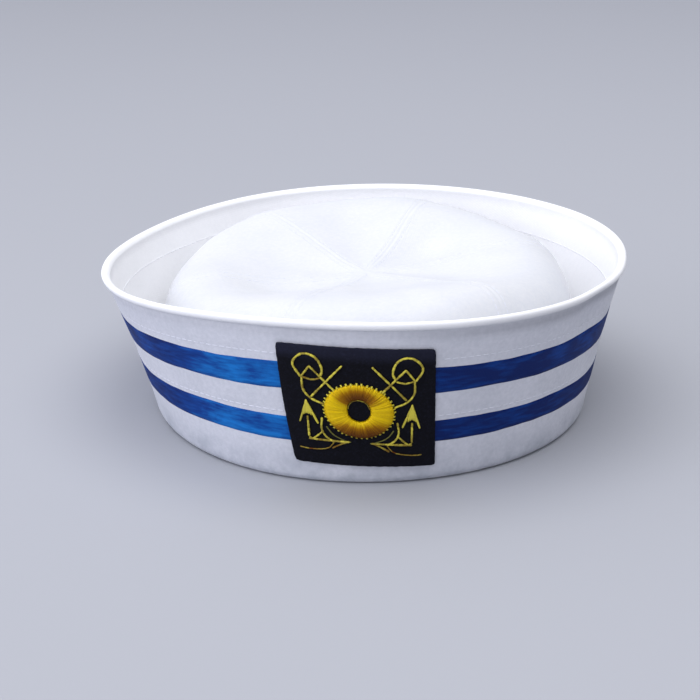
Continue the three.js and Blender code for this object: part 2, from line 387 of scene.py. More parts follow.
class HatBadgeSettings(bpy.types.PropertyGroup):
    felt: colour_setting("Felt", "Colour of the patch", "#121217")
    gold: colour_setting("Gold Thread", "Colour of the ring", "#F3D00D")
    line: colour_setting("Line Thread", "Colour of the anchors and of the ring's edge stitches", "#E8DA52")
    line_dull: colour_setting("Line Thread, Dull", "Line thread turned away from the light", "#A3923A")
    orange: colour_setting("Orange Thread", "Gold thread turned away from the light", "#AC7703")
    amber: colour_setting("Amber Thread", "Shade between the gold threads", "#703E04")
    rope: colour_setting("Rope Thread", "Colour of the fine line under the ring", "#6E6C34")


class HatTopstitchSettings(bpy.types.PropertyGroup):
    colour: colour_setting("Colour", "White sewing thread", "#E1E3EC")
    # Painted light: the same thread, made whiter inside the brim
    inner: colour_setting("Inner Colour", "White sewing thread inside the brim, as new", "#F6F6FA")
    stitch: length_setting("Stitch", "Length of a stitch", 2.4)
    gap: length_setting("Gap", "Cloth between two stitches", 0.7)
    width: length_setting("Width", "Width of the thread", 0.45)


class HatStageSettings(bpy.types.PropertyGroup):
    azimuth: angle_setting("Azimuth", "Camera's angle round the hat", 1.955)
    elevation: angle_setting("Elevation", "Camera's angle above the table", 19.598)
    roll: angle_setting("Roll", "Camera's tilt about its own axis", 0.237)
    distance: length_setting("Distance", "From the camera to the point it looks at", 720.93)
    lens: bpy.props.FloatProperty(
        name="Lens", description="Focal length in millimetres on a 36 mm sensor", default=86.41, min=1.0
    )
    aim: bpy.props.FloatVectorProperty(
        name="Aim",
        description="Point that the camera looks at",
        default=(-0.00593, -0.00315, 0.01942),
        subtype="XYZ",
        unit="LENGTH",
    )
    floor: colour_setting("Floor", "Pale floor under the hat", "#AFB1B7")


# Shapes shared by the pieces


def swell(waves, angle):
    """Sum of the waves at an angle."""
    return sum(w.cos * math.cos(w.lobes * angle) + w.sin * math.sin(w.lobes * angle) for w in waves)


def smooth(value, start, end):
    """Rises softly from 0 at start to 1 at end."""
    share = min(1.0, max(0.0, (value - start) / (end - start)))
    return share * share * (3 - 2 * share)


def bell(distance, spread):
    """1 at no distance, falling off over the spread."""
    return math.exp(-((distance / spread) ** 2))


def mix(start, end, share):
    return start + (end - start) * share


def turned(angle):
    """The same angle between minus and plus half a turn."""
    return (angle + math.pi) % (2 * math.pi) - math.pi


def angle_of(spot):
    """Angle round the head of a place."""
    return math.atan2(spot.x, -spot.y)


def round_noise(angle, wavelength, height, seed):
    """Smooth noise from -1 to 1 that closes round the hat."""
    reach = HEAD_RADIUS / wavelength
    return noise.noise(Vector((reach * math.sin(angle), reach * math.cos(angle), height / wavelength + seed)))


def oval_point(oval, angle):
    stretch = 1 + swell(oval.waves, angle) / 100
    x = oval.half_width * math.sin(angle) * stretch + oval.shift_x
    y = -oval.half_depth * math.cos(angle) * stretch + oval.shift_y
    return Vector((x, y, 0.0))


def outward(angle):
    """Level direction straight out of the base oval."""
    along = oval_point(BASE_OVAL, angle + 0.001) - oval_point(BASE_OVAL, angle - 0.001)
    return Vector((along.y, -along.x, 0.0)).normalized()


def on_hat(point):
    """A point of the hat in millimetres as a place in the frame, in metres."""
    return (point + CENTRING) * MM


def brim_point(angle, height, out):
    share = height / BRIM_HEIGHT
    flare = share - BRIM_HOLLOW * share * (1 - share)
    level = oval_point(BASE_OVAL, angle).lerp(oval_point(RIM_OVAL, angle), flare) + outward(angle) * out
    level.z = height * (1 + swell(RIM_WAVES, angle) / BRIM_HEIGHT)
    return level


def drop_share(angle):
    """Share of a stripe's drops at an angle: all of them on the right, and none on the left."""
    return 1 - smooth(angle % (2 * math.pi), *DROP_FADE)


def row_height(row, angle):
    """Height of a row of topstitching at an angle."""
    return row.height - row.drop * drop_share(angle) - row.slant * math.sin(angle)


def wall_relief(angle, height):
    """How far the soft wall strays from its plain shape. It is still at the foot and under the patch."""
    settings = bpy.context.scene.hat_brim
    relief = 0.0
    for ripple in WALL_RIPPLES:
        wave = round_noise(angle, ripple.wavelength, height, ripple.seed)
        relief += ripple.share * settings.ripple / MM * wave
    for dent in WALL_DENTS:
        around = HEAD_RADIUS * turned(angle - math.radians(dent.angle))
        wide = bell(around, DENT_STRETCH * dent.spread)
        relief -= dent.depth * wide * bell(height - dent.place, dent.spread)
    for row in BRIM_ROWS:
        away = height - row_height(row, angle)
        gather = round_noise(angle, GATHER_LENGTH, 0, row.height) * bell(away, GATHER_SPREAD)
        relief += settings.pucker / MM * (gather - ROW_LINE * bell(away, ROW_LINE_SPREAD))
    off_patch = smooth(abs(math.degrees(turned(angle))), *STILL_PATCH)
    return relief * smooth(height, *STILL_FOOT) * mix(STILL_PATCH_SHARE, 1.0, off_patch)


def wall_point(angle, height, out):
    """A place on the wall's outer face as the cloth really lies, in metres."""
    return on_hat(brim_point(angle, height, out + wall_relief(angle, height)))


def patch_point(across, up, out):
    """A place on the patch, in millimetres across and up from the middle of the motif."""
    share = MOTIF_ACROSS + across / PATCH_WIDTH
    rise = MOTIF_UP + up / PATCH_TALL
    low = [mix(*ends, share) for ends in zip(PATCH_LOW_LEFT, PATCH_LOW_RIGHT)]
    top = [mix(*ends, share) for ends in zip(PATCH_TOP_LEFT, PATCH_TOP_RIGHT)]
    angle, height = (mix(*ends, rise) for ends in zip(low, top))
    return wall_point(math.radians(angle), height, out)


def crown_outline(climb):
    """Reach and lift of the crown's profile, climbing from 0 at the foot to 1 at the middle."""
    turn = climb * math.pi / 2
    size = (math.cos(turn) ** CROWN_SQUARENESS + math.sin(turn) ** CROWN_SQUARENESS) ** (1 / CROWN_SQUARENESS)
    return math.cos(turn) / size, math.sin(turn) / size


def seam_distance(angle, radius):
    """Millimetres from the nearest gore seam."""
    gore = 2 * math.pi / GORES
    away = (angle - FIRST_SEAM + gore / 2) % gore - gore / 2
    return radius * away


def crown_relief(angle, reach, lift, radius):
    """Seams, gathers and slack of the crown's cloth, on top of its main shape."""
    settings = bpy.context.scene.hat_crown
    away = abs(seam_distance(angle, radius))
    down = PUCKER_TOP * reach + FLAT_SIDE * (1 - lift)
    seam = settings.seam_pad / MM * (1 - smooth(away, *SEAM_PAD_EDGE))
    seam -= settings.seam_groove / MM * bell(away, SEAM_LINE_SPREAD)
    seam -= SEAM_ROW_DEPTH * bell(away - SEAM_ROW_AWAY, SEAM_ROW_SPREAD)
    sway = PUCKER_SWAY * noise.noise(Vector((down / PUCKER_SWAY_WAVE, angle, 3.0)))
    uneven = 0.4 + abs(noise.noise(Vector((down / PUCKER_FADE_WAVE, angle * 2, 9.0))))
    gather = math.sin(down / PUCKER_PITCH + sway)
    gather *= settings.pucker / MM * 0.5 * bell(away - PUCKER_AWAY, PUCKER_SPREAD) * uneven
    x, y = radius * math.sin(angle), radius * math.cos(angle)
    slack = settings.slack / MM * noise.noise(Vector((x / SLACK_WAVE, y / SLACK_WAVE, down / 60)))
    slack += QUICK_SHARE * settings.slack / MM * noise.noise(Vector((x / QUICK_WAVE, y / QUICK_WAVE, 5.0)))
    return (seam + gather) * smooth(radius, *SEAM_FADE) + slack * smooth(lift, 0.1, 0.6)


def crown_point(angle, climb, out):
    """A place on the crown as its cloth really lies, in metres."""
    reach, lift = crown_outline(climb)
    plan = 1 + lift * swell(CROWN_PLAN_WAVES, angle) / 100
    away = outward(angle)
    level = (oval_point(BASE_OVAL, angle) - away * CROWN_INSET) * (reach * plan) + CROWN_LEAN * lift
    dent_depth = 0.0
    for dent in CROWN_DENTS:
        turn = math.radians(dent.angle)
        middle = Vector((math.sin(turn), -math.cos(turn), 0.0)) * dent.place
        dent_depth += dent.depth * bell((level - middle).length, math.sqrt(2) * dent.spread)
    shoulder = CROWN_HEIGHT + reach * swell(CROWN_SHOULDER_WAVES, angle)
    sink = CROWN_SINK * (1 - reach**2) ** 2 + dent_depth * lift
    swing = math.cos(GORES / 2 * (angle - FIRST_SEAM))
    sag = GORE_SAG * (1 - swing**2) * min(1.0, reach / SAG_START) * lift
    level.z = CROWN_FOOT + (shoulder - CROWN_FOOT) * lift - sink - sag
    radius = max(0.01, (oval_point(BASE_OVAL, angle) * reach).length)
    facing = away * reach ** (CROWN_SQUARENESS - 1) + Vector((0.0, 0.0, lift ** (CROWN_SQUARENESS - 1)))
    return on_hat(level + facing.normalized() * (out + crown_relief(angle, reach, lift, radius)))


# Mesh helpers


def finish_piece(bm, name, materials, body, replaced=()):
    """Makes the mesh an object of the hat, which rides on its body and takes a slot's finish."""
    mesh = bpy.data.meshes.new(name)
    bm.to_mesh(mesh)
    bm.free()
    for material in materials:
        mesh.materials.append(material)
    for polygon in mesh.polygons:
        polygon.use_smooth = True
    piece = bpy.data.objects.new(name, mesh)
    bpy.context.scene.collection.objects.link(piece)
    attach(piece, body)
    if replaced:
        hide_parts(*replaced)
    return piece


def give_wall(piece, thickness, offset):
    """Gives a single layer its thickness: offset 1 grows it outwards and -1 inwards."""
    wall = piece.modifiers.new("wall", "SOLIDIFY")
    wall.thickness = thickness
    wall.offset = offset
    wall.use_even_offset = False
    return wall


def lay_flat(bm, flat_places):
    """UV map of the flat cloth, in metres, where each corner's place depends on the face it is in."""
    layer = bm.loops.layers.uv.new("cloth")
    for face in bm.faces:
        for loop, flat in zip(face.loops, flat_places(face)):
            loop[layer].uv = (flat[0] * MM, flat[1] * MM)


def spin_section(bm, points, steps, closed=True):
    """Spins a section once round Z into one skin, and gives each vertex's plain place."""
    section = [bm.verts.new(point) for point in points]
    nexts = [*section[1:], section[0]] if closed else section[1:]
    edges = [bm.edges.new(pair) for pair in zip(section, nexts)]
    bmesh.ops.spin(
        bm,
        geom=[*section, *edges],
        cent=(0, 0, 0),
        axis=(0, 0, 1),
        angle=2 * math.pi,
        steps=steps,
        use_merge=True,
    )
    bmesh.ops.remove_doubles(bm, verts=bm.verts, dist=0.0001)
    return {vert: vert.co.copy() for vert in bm.verts}


def flat_sheet(x_segments, y_segments, size, flat_place):
    """A flat sheet with its UV map, and each vertex's plain place, from minus to plus the size."""
    bm = bmesh.new()
    bmesh.ops.create_grid(bm, x_segments=x_segments, y_segments=y_segments, size=size)
    plain = {vert: vert.co.copy() for vert in bm.verts}
    lay_flat(bm, lambda face: [flat_place(plain[loop.vert]) for loop in face.loops])
    return bm, plain


def plain_stitch():
    """Mesh of one stitch, a few dozen faces: a thread with full sides and rounded ends."""
    bm = bmesh.new()
    bm.loops.layers.uv.new("thread")
    bmesh.ops.create_uvsphere(bm, u_segments=8, v_segments=6, radius=1.0, calc_uvs=True)
    for vert in bm.verts:
        ring = math.hypot(vert.co.x, vert.co.y)
        if ring > 1e-6:
            full = (1 - vert.co.z**4) ** 0.25
            vert.co.x *= full / ring
            vert.co.y *= full / ring
    mesh = bpy.data.meshes.new("plain_stitch")
    bm.to_mesh(mesh)
    bm.free()
    return mesh


class Sewing:
    """The stitches of one piece. Each is a copy of the plain stitch, laid where it is sewn."""

    def __init__(self):
        self.bm = bmesh.new()
        self.threads = self.bm.loops.layers.uv.new("thread")
        self.shades = self.bm.verts.layers.float.new("shade")
        self.plain = plain_stitch()

    def add(self, lay, length, width, height, material_index=0, shade=None):
        """Adds a stitch. lay(along, across, up) turns millimetres from its middle into a place."""
        first_vert = len(self.bm.verts)
        first_face = len(self.bm.faces)
        self.bm.from_mesh(self.plain)
        self.bm.verts.ensure_lookup_table()
        self.bm.faces.ensure_lookup_table()
        self.threads = self.bm.loops.layers.uv["thread"]
        self.shades = self.bm.verts.layers.float["shade"]
        for vert in self.bm.verts[first_vert:]:
            along = vert.co.z * length / 2
            vert.co = lay(along, vert.co.x * width / 2, vert.co.y * height / 2)
            vert[self.shades] = shade(along) if shade else 0.0
        for face in self.bm.faces[first_face:]:
            face.material_index = material_index
            for loop in face.loops:
                share = loop[self.threads].uv
                loop[self.threads].uv = (share.x * math.pi * width * MM, share.y * length * MM)

    def between(self, start, end, up, width, height, material_index=0, shade=0.0):
        """Adds a stitch between two places in metres, on the face that up points out of."""
        ahead = (end - start).normalized()
        across = ahead.cross(up).normalized()
        out = across.cross(ahead).normalized()
        middle = (start + end) / 2

        def lay(s, t, h):
            return middle + (ahead * s + across * t + out * h) * MM

        self.add(lay, (end - start).length / MM, width, height, material_index, lambda along: shade)

    def finish(self, name, materials, replaced=()):
        bpy.data.meshes.remove(self.plain)
        return finish_piece(self.bm, name, materials, "root", replaced)


def evenly_along(points, spacing):
    """Points the same distance apart along a line of points."""
    spots = [points[0]]
    left = spacing
    for start, end in zip(points, points[1:]):
        run = (end - start).length
        done = 0.0
        while run - done >= left:
            done += left
            spots.append(start.lerp(end, done / run))
            left = spacing
        left -= run - done
    return spots


def flowing(points, steps=8):
    """A smooth line through the points."""
    spots = [Vector((*p, 0.0)) for p in points]
    ends = [spots[0] * 2 - spots[1], *spots, spots[-1] * 2 - spots[-2]]
    line = []
    for before, start, end, after in zip(ends, ends[1:], ends[2:], ends[3:]):
        slope = end - before
        bend = 2 * before - 5 * start + 4 * end - after
        twist = 3 * start - before - 3 * end + after
        for step in range(steps):
            t = step / steps
            line.append(0.5 * (2 * start + slope * t + bend * t**2 + twist * t**3))
    return [*line, spots[-1]]


# Materials

# A wave texture of scale 1 repeats every pi / 10
WAVE_REPEAT = math.pi / 10
# The output that is taken from each kind of node, unless a call names another
OUTPUTS = {
    "Attribute": "Fac",
    "Background": "Background",
    "BsdfPrincipled": "BSDF",
    "Bump": "Normal",
    "MapRange": "Result",
    "Mapping": "Vector",
    "Math": "Value",
    "Mix": "Result",
    "TexCoord": "Object",
    "TexNoise": "Fac",
    "TexWave": "Fac",
    "UVMap": "UV",
    "ValToRGB": "Color",
    "VectorMath": "Value",
}


def add_node(tree, kind, inputs=None, output=None, **settings):
    """Adds a node with its settings, fills each named input with a value or link, and gives an output."""
    made = tree.nodes.new("ShaderNode" + kind)
    for name, value in settings.items():
        setattr(made, name, value)
    for name, value in (inputs or {}).items():
        if isinstance(value, bpy.types.NodeSocket):
            tree.links.new(value, made.inputs[name])
        else:
            made.inputs[name].default_value = value
    output = output or OUTPUTS.get(kind)
    return made.outputs[output] if output else None


def start_material(name):
    """An empty material, and the function that adds a node to it."""
    material = bpy.data.materials.new(name)
    material.use_nodes = True
    material.node_tree.nodes.clear()
    return material, partial(add_node, material.node_tree)


def finish_material(material, inputs):
    """Gives the material its shader, filled with the inputs."""
    shader = add_node(material.node_tree, "BsdfPrincipled", inputs)
    add_node(material.node_tree, "OutputMaterial", {"Surface": shader})
    return material


def cotton_twill(name, colour, painted_lit_inner_colour, soil_colour):
    """Bleached cotton twill, woven with a diagonal rib: matt, a little uneven, softly crumpled.

    The real rib is about 0.5 mm wide, and is drawn 0.9 mm wide to show in the render. The mesh's
    "inside" attribute turns the colour into the whiter inner one, which is painted light, and another
    attribute mixes in a darker colour, which is painted shade under the rolled rim.
    """
    material, add = start_material(name)
    flat = add("UVMap", uv_map="cloth")
    where = add("TexCoord")
    slanted = add("Mapping", {"Vector": flat, "Rotation": (0.0, 0.0, math.radians(63))})
    ribs = add(
        "TexWave", {"Vector": slanted, "Scale": WAVE_REPEAT / (0.9 * MM), "Distortion": 0.6, "Detail": 1.0}
    )
    yarns = add(
        "TexWave",
        {"Vector": flat, "Scale": WAVE_REPEAT / (0.7 * MM), "Distortion": 0.4, "Detail": 1.0},
        bands_direction="Y",
    )
    weave = add("Mix", {"Factor": 0.35, "A": ribs, "B": yarns})
    weave_bump = add("Bump", {"Strength": 0.25, "Distance": 0.1 * MM, "Height": weave})
    crumple = add("TexNoise", {"Vector": where, "Scale": 1 / (14 * MM), "Detail": 4.0, "Roughness": 0.55})
    bump = add("Bump", {"Strength": 0.5, "Distance": 0.7 * MM, "Height": crumple, "Normal": weave_bump})

    # The inside and the rolled rim take the whiter colour and less cloud: painted light
    inside = add("Attribute", attribute_name="inside")
    plain = add("Mix", {"Factor": inside, "A": solid(colour), "B": solid(painted_lit_inner_colour)}, data_type="RGBA")
    cloudy = add("TexNoise", {"Vector": where, "Scale": 1 / (30 * MM), "Detail": 3.0, "Roughness": 0.6})
    slubs = add("TexNoise", {"Vector": where, "Scale": 1 / (1.6 * MM), "Detail": 2.0})
    shade = add("Math", {0: cloudy, 1: slubs}, operation="ADD")
    tint = add("MapRange", {"Value": shade, "From Min": 0.75, "From Max": 1.3, "To Min": 0.3, "To Max": 0.0})
    cloud_share_painted_lit = add("MapRange", {"Value": inside, "To Min": 1.0, "To Max": 0.2})
    clouded = add("Math", {0: tint, 1: cloud_share_painted_lit}, operation="MULTIPLY")
    toned = add("Mix", {"Factor": clouded, "A": plain, "B": solid(soil_colour)}, data_type="RGBA")

    height = add("SeparateXYZ", {"Vector": where}, "Z")
    low = add(
        "MapRange",
        {"Value": height, "From Max": 17 * MM, "To Min": 1.0, "To Max": 0.0},
        interpolation_type="SMOOTHSTEP",
    )
    smudge = add("TexNoise", {"Vector": where, "Scale": 1 / (9 * MM), "Detail": 5.0, "Roughness": 0.65})
    smudged = add(
        "MapRange", {"Value": smudge, "From Min": 0.3, "From Max": 0.68, "To Min": 0.08, "To Max": 0.85}
    )
    soil = add("Math", {0: low, 1: smudged}, operation="MULTIPLY")
    worn = add("Mix", {"Factor": soil, "A": toned, "B": solid(soil_colour)}, data_type="RGBA")
    # Painted shade: greys the cloth under the rolled rim, by a vertex attribute that the brim sets
    painted_roll_shade = add("Attribute", attribute_name="painted_roll_shade")
    roll_shaded_colour = add("Mix", {"Factor": painted_roll_shade, "A": worn, "B": solid(linear(UNDER_ROLL_SHADE_GREY))}, data_type="RGBA")
    return finish_material(
        material,
        {
            "Base Color": roll_shaded_colour,
            "Roughness": 0.9,
            "Specular IOR Level": 0.25,
            "Sheen Weight": 0.15,
            "Sheen Roughness": 0.5,
            "Normal": bump,
        },
    )


def dyed_ribbon(settings):
    """Cotton satin ribbon, dyed by hand: streaky blue with clouds where the dye took unevenly."""
    material, add = start_material("hand_dyed_satin_ribbon")
    flat = add("UVMap", uv_map="cloth")
    drawn = add("Mapping", {"Vector": flat, "Scale": (0.42, 1.0, 1.0)})
    clouds = add(
        "TexNoise",
        {"Vector": drawn, "Scale": 1 / (8 * MM), "Detail": 4.0, "Roughness": 0.6, "Distortion": 0.6},
    )
    streaks_and_lit_band = add("Mapping", {"Vector": flat, "Scale": (0.16, 1.0, 1.0)})
    streaks = add("TexNoise", {"Vector": streaks_and_lit_band, "Scale": 1 / (1.4 * MM), "Detail": 2.0})
    # Paler on the left and deeper on the right: partly uneven dye, partly painted light and painted shade
    across = add("SeparateXYZ", {"Vector": add("TexCoord")}, "X")
    paler_left_dye_and_light = add(
        "MapRange",
        {"Value": across, "From Min": -76 * MM, "From Max": -48 * MM, "To Min": -0.1, "To Max": 0.17},
        interpolation_type="SMOOTHSTEP",
    )
    deeper_right_dye_and_shade = add(
        "MapRange",
        {"Value": across, "From Min": -34 * MM, "From Max": 30 * MM, "To Max": -0.33},
        interpolation_type="SMOOTHSTEP",
    )
    dye_and_light_offset = add("Math", {0: paler_left_dye_and_light, 1: deeper_right_dye_and_shade}, operation="ADD")
    uneven = add("Mix", {"Factor": 0.38, "A": clouds, "B": streaks})
    took = add("Math", {0: uneven, 1: dye_and_light_offset}, operation="ADD")
    dyed = add("ValToRGB", {"Fac": took})
    stops = dyed.node.color_ramp.elements
    stops[0].position = 0.30
    stops[0].color = solid(settings.deep)
    stops[1].position = 0.74
    stops[1].color = solid(settings.light)
    stops.new(0.52).color = solid(settings.colour)
    weft = add(
        "TexWave", {"Vector": flat, "Scale": WAVE_REPEAT / (0.6 * MM), "Distortion": 0.3, "Detail": 1.0}
    )
    height = add("Mix", {"Factor": 0.5, "A": weft, "B": streaks})
    bump = add("Bump", {"Strength": 0.4, "Distance": 0.12 * MM, "Height": height})
    return finish_material(
        material, {"Base Color": dyed, "Roughness": 0.65, "Specular IOR Level": 0.15, "Normal": bump}
    )


def navy_felt(settings):
    """Pressed wool felt, almost black: matted fibres, no weave, soft fluff, a painted highlight at the top.
    """
    material, add = start_material("pressed_wool_felt")
    where = add("TexCoord")
    fibres = add(
        "TexNoise",
        {"Vector": where, "Scale": 1 / (0.9 * MM), "Detail": 4.0, "Roughness": 0.7, "Distortion": 1.2},
    )
    # A band along the top edge is lightened: a painted highlight where the edge faces the light above
    up = add("SeparateXYZ", {"Vector": add("UVMap", uv_map="cloth")}, "Y")
    streaks_and_lit_band = add(
        "MapRange",
        {"Value": up, "From Min": 18.5 * MM, "From Max": 23 * MM, "To Max": 0.35},
        interpolation_type="SMOOTHSTEP",
    )
    matted = add("MapRange", {"Value": fibres, "From Min": 0.5, "From Max": 0.8, "To Max": 0.35})
    lint_and_painted_highlight = add("Math", {0: matted, 1: streaks_and_lit_band}, operation="ADD")
    toned = add(
        "Mix", {"Factor": lint_and_painted_highlight, "A": solid(settings.felt), "B": solid(linear(FELT_LINT_AND_HIGHLIGHT))}, data_type="RGBA"
    )
    return finish_material(
        material,
        {
            "Base Color": toned,
            "Roughness": 1.0,
            "Specular IOR Level": 0.1,
            "Sheen Weight": 0.05,
            "Sheen Tint": solid(linear(FELT_SHEEN)),
            "Normal": add("Bump", {"Strength": 0.6, "Distance": 0.25 * MM, "Height": fibres}),
        },
    )


def rayon_thread(name, colour, dull, shade, roughness=0.42, gloss=0.0):
    """Embroidery rayon: smooth parallel filaments, whose silky gloss takes the colour of the dye.

    The filaments are finer than can show, and are drawn 0.3 mm apart. The mesh's "shade" attribute
    turns the colour first into the dull one and then into the shade; on the ring it carries painted
    shade. gloss is the share of coloured gloss.
    """
    material, add = start_material(name)
    along = add("UVMap", uv_map="thread")
    twisted = add("Mapping", {"Vector": along, "Rotation": (0.0, 0.0, math.radians(14))})
    filaments = add(
        "TexWave", {"Vector": twisted, "Scale": WAVE_REPEAT / (0.3 * MM), "Distortion": 0.5, "Detail": 1.0}
    )
    patches = add(
        "TexNoise", {"Vector": add("TexCoord"), "Scale": 1 / (3 * MM), "Detail": 3.0, "Roughness": 0.6}
    )
    deep = add("Math", {0: filaments, 1: patches}, operation="MULTIPLY")
    share = add("MapRange", {"Value": deep, "From Min": 0.05, "From Max": 0.5, "To Min": 0.08, "To Max": 0.0})
    sewn_shade = add("Attribute", attribute_name="shade")
    darker = add("Math", {0: sewn_shade, 1: share}, operation="ADD", use_clamp=True)
    toned = add("ValToRGB", {"Fac": darker})
    stops = toned.node.color_ramp.elements
    stops[0].color = solid(colour)
    stops[1].color = solid(shade)
    stops.new(0.5).color = solid(dull)
    bump = add("Bump", {"Strength": 0.35, "Distance": 0.08 * MM, "Height": filaments})
    return finish_material(
        material,
        {
            "Base Color": toned,
            "Roughness": roughness,
            "Metallic": gloss,
            "Specular IOR Level": 0.2,
            "Normal": bump,
        },
    )


def painted_floor(colour):
    """Matt painted board: one pale colour with a faint unevenness."""
    material, add = start_material("matt_painted_board")
    cloudy = add("TexNoise", {"Vector": add("TexCoord"), "Scale": 1 / (400 * MM), "Detail": 2.0})
    share = add("MapRange", {"Value": cloudy, "From Min": 0.3, "From Max": 0.7, "To Max": 0.05})
    toned = add("Mix", {"Factor": share, "A": solid(colour), "B": solid(FLOOR_CLOUD)}, data_type="RGBA")
    return finish_material(material, {"Base Color": toned, "Roughness": 0.85, "Specular IOR Level": 0.2})


# Brim


def arc(out, height, radius, start, end, steps):
    """Points of an arc in the brim's section, with its ends' angles in degrees."""
    turns = [math.radians(mix(start, end, step / steps)) for step in range(steps + 1)]
    return [(out + radius * math.cos(turn), height + radius * math.sin(turn)) for turn in turns]


def brim_section(groove):
    """Closed section of the brim as distance out of its outer face against height."""
    roll_out = ROLL_OVERHANG - ROLL_RADIUS
    roll_height = BRIM_HEIGHT - ROLL_RADIUS
    outer_meet = math.degrees(math.acos(-roll_out / ROLL_RADIUS))
    inner_meet = 180 + math.degrees(math.acos((BRIM_CLOTH + roll_out) / ROLL_RADIUS))
    roll_foot = roll_height - ROLL_RADIUS * math.sin(math.radians(outer_meet))
    hem_end = HEM_THICKNESS / 2 - HEM_REACH
    points = [(mix(hem_end, -FOLD_RADIUS, step / 4), 0.0) for step in range(4)]
    points += arc(-FOLD_RADIUS, FOLD_RADIUS, FOLD_RADIUS, -90, 0, steps=6)
    for row in range(1, WALL_ROWS + 1):
        height = mix(FOLD_RADIUS, roll_foot, row / WALL_ROWS)
        points.append((-groove * bell(height - roll_foot + GROOVE_BELOW_ROLL, GROOVE_SPREAD), height))
    points += arc(roll_out, roll_height, ROLL_RADIUS, ROLL_START - outer_meet, inner_meet, steps=16)
    for row in range(1, INNER_ROWS + 1):
        points.append((-BRIM_CLOTH, mix(roll_foot, HEM_THICKNESS + HEM_CORNER, row / INNER_ROWS)))
    points += [(mix(-BRIM_CLOTH - HEM_CORNER, hem_end, step / 4), HEM_THICKNESS) for step in range(4)]
    points += arc(hem_end, HEM_THICKNESS / 2, HEM_THICKNESS / 2, 90, 250, steps=5)
    return points


class HAT_OT_brim(bpy.types.Operator):
    """Makes the turned-up brim with its rolled rim, groove, fold and hem"""

    bl_idname = "hat.brim"
    bl_label = "Brim"

    def execute(self, context):
        settings = context.scene.hat_brim
        nominal = BASE_OVAL.half_width
        bm = bmesh.new()
        for layer in ("inside", "painted_roll_shade"):
            bm.verts.layers.float.new(layer)
        inside = bm.verts.layers.float["inside"]
        painted_roll_shade = bm.verts.layers.float["painted_roll_shade"]
        points = [(0.0, -nominal - out, height) for out, height in brim_section(settings.groove / MM)]
        plain = spin_section(bm, points, BRIM_STEPS)

        def flat_places(face):
            spots = [plain[loop.vert] for loop in face.loops]
            angles = [angle_of(spot) for spot in spots]
            wraps = max(angles) - min(angles) > math.pi
            angles = [a + 2 * math.pi if wraps and a < 0 else a for a in angles]
            return [(HEAD_RADIUS * a, p.z - (math.hypot(p.x, p.y) - nominal)) for a, p in zip(angles, spots)]

        lay_flat(bm, flat_places)
        for vert, spot in plain.items():
            angle = angle_of(spot)
            out = math.hypot(spot.x, spot.y) - nominal
            vert.co = wall_point(angle, spot.z, out)
            # The inside and the rolled rim are marked for the whiter colour, which is painted light
            roll_foot = BRIM_HEIGHT - 2 * ROLL_RADIUS - GROOVE_BELOW_ROLL
            painted_lit_roll = smooth(spot.z, roll_foot, BRIM_HEIGHT - ROLL_RADIUS)
            inwards = smooth(-out, 0.0, BRIM_CLOTH - 0.2)
            vert[inside] = max(inwards, painted_lit_roll)
            # Painted shade under the roll, stronger on the right, where less light falls
            right = smooth(math.sin(angle), 0.05, 0.7)
            roll_shade_share = mix(*UNDER_ROLL_SHADE_SHARE, right) * (1 - inwards)
            vert[painted_roll_shade] = roll_shade_share * bell(spot.z - UNDER_ROLL_SHADE_HEIGHT, mix(*UNDER_ROLL_SHADE_SPREAD, right))
        bmesh.ops.recalc_face_normals(bm, faces=bm.faces)
        cloth = cotton_twill(
            "bleached_cotton_twill_brim", settings.colour, settings.painted_lit_inner_colour, settings.soil_colour
        )
        finish_piece(bm, "brim_cloth", [cloth], "root", ["brim"])
        return {"FINISHED"}


# Crown


class HAT_OT_crown(bpy.types.Operator):
    """Makes the soft crown of six gores, sunk in the middle and dented"""

    bl_idname = "hat.crown"
    bl_label = "Crown"

    def execute(self, context):
        settings = context.scene.hat_crown
        bm = bmesh.new()
        climbs = [row / CROWN_ROWS for row in range(CROWN_ROWS + 1)]
        plain = spin_section(bm, [(0.0, climb - 1.0, climb) for climb in climbs], CROWN_STEPS, closed=False)

        def gore_angle(spot):
            """The spot's angle, with the mesh crowded towards the seams."""
            even = angle_of(spot)
            return even - SEAM_CROWDING * math.sin(GORES * (even - FIRST_SEAM)) / GORES

        def flat_places(face):
            gore = 2 * math.pi / GORES
            index = math.floor((angle_of(face.calc_center_median()) - FIRST_SEAM) / gore)
            gore_middle = FIRST_SEAM + (index + 0.5) * gore
            places = []
            for loop in face.loops:
                reach, lift = crown_outline(plain[loop.vert].z)
                down = FLAT_TOP * reach + FLAT_SIDE * (1 - lift)
                turn = turned(gore_angle(plain[loop.vert]) - gore_middle)
                places.append((down * math.sin(turn) + 200 * index, down * math.cos(turn)))
            return places

        lay_flat(bm, flat_places)
        for vert, spot in plain.items():
            vert.co = crown_point(gore_angle(spot), spot.z, 0.0)
        bmesh.ops.recalc_face_normals(bm, faces=bm.faces)
        cloth = cotton_twill(
            "bleached_cotton_twill_crown", settings.colour, settings.colour, linear(CROWN_CLOUD)
        )
        piece = finish_piece(bm, "crown_cloth", [cloth], "root", ["crown"])
        give_wall(piece, CROWN_CLOTH * MM, -1.0)
        return {"FINISHED"}


# Ribbons


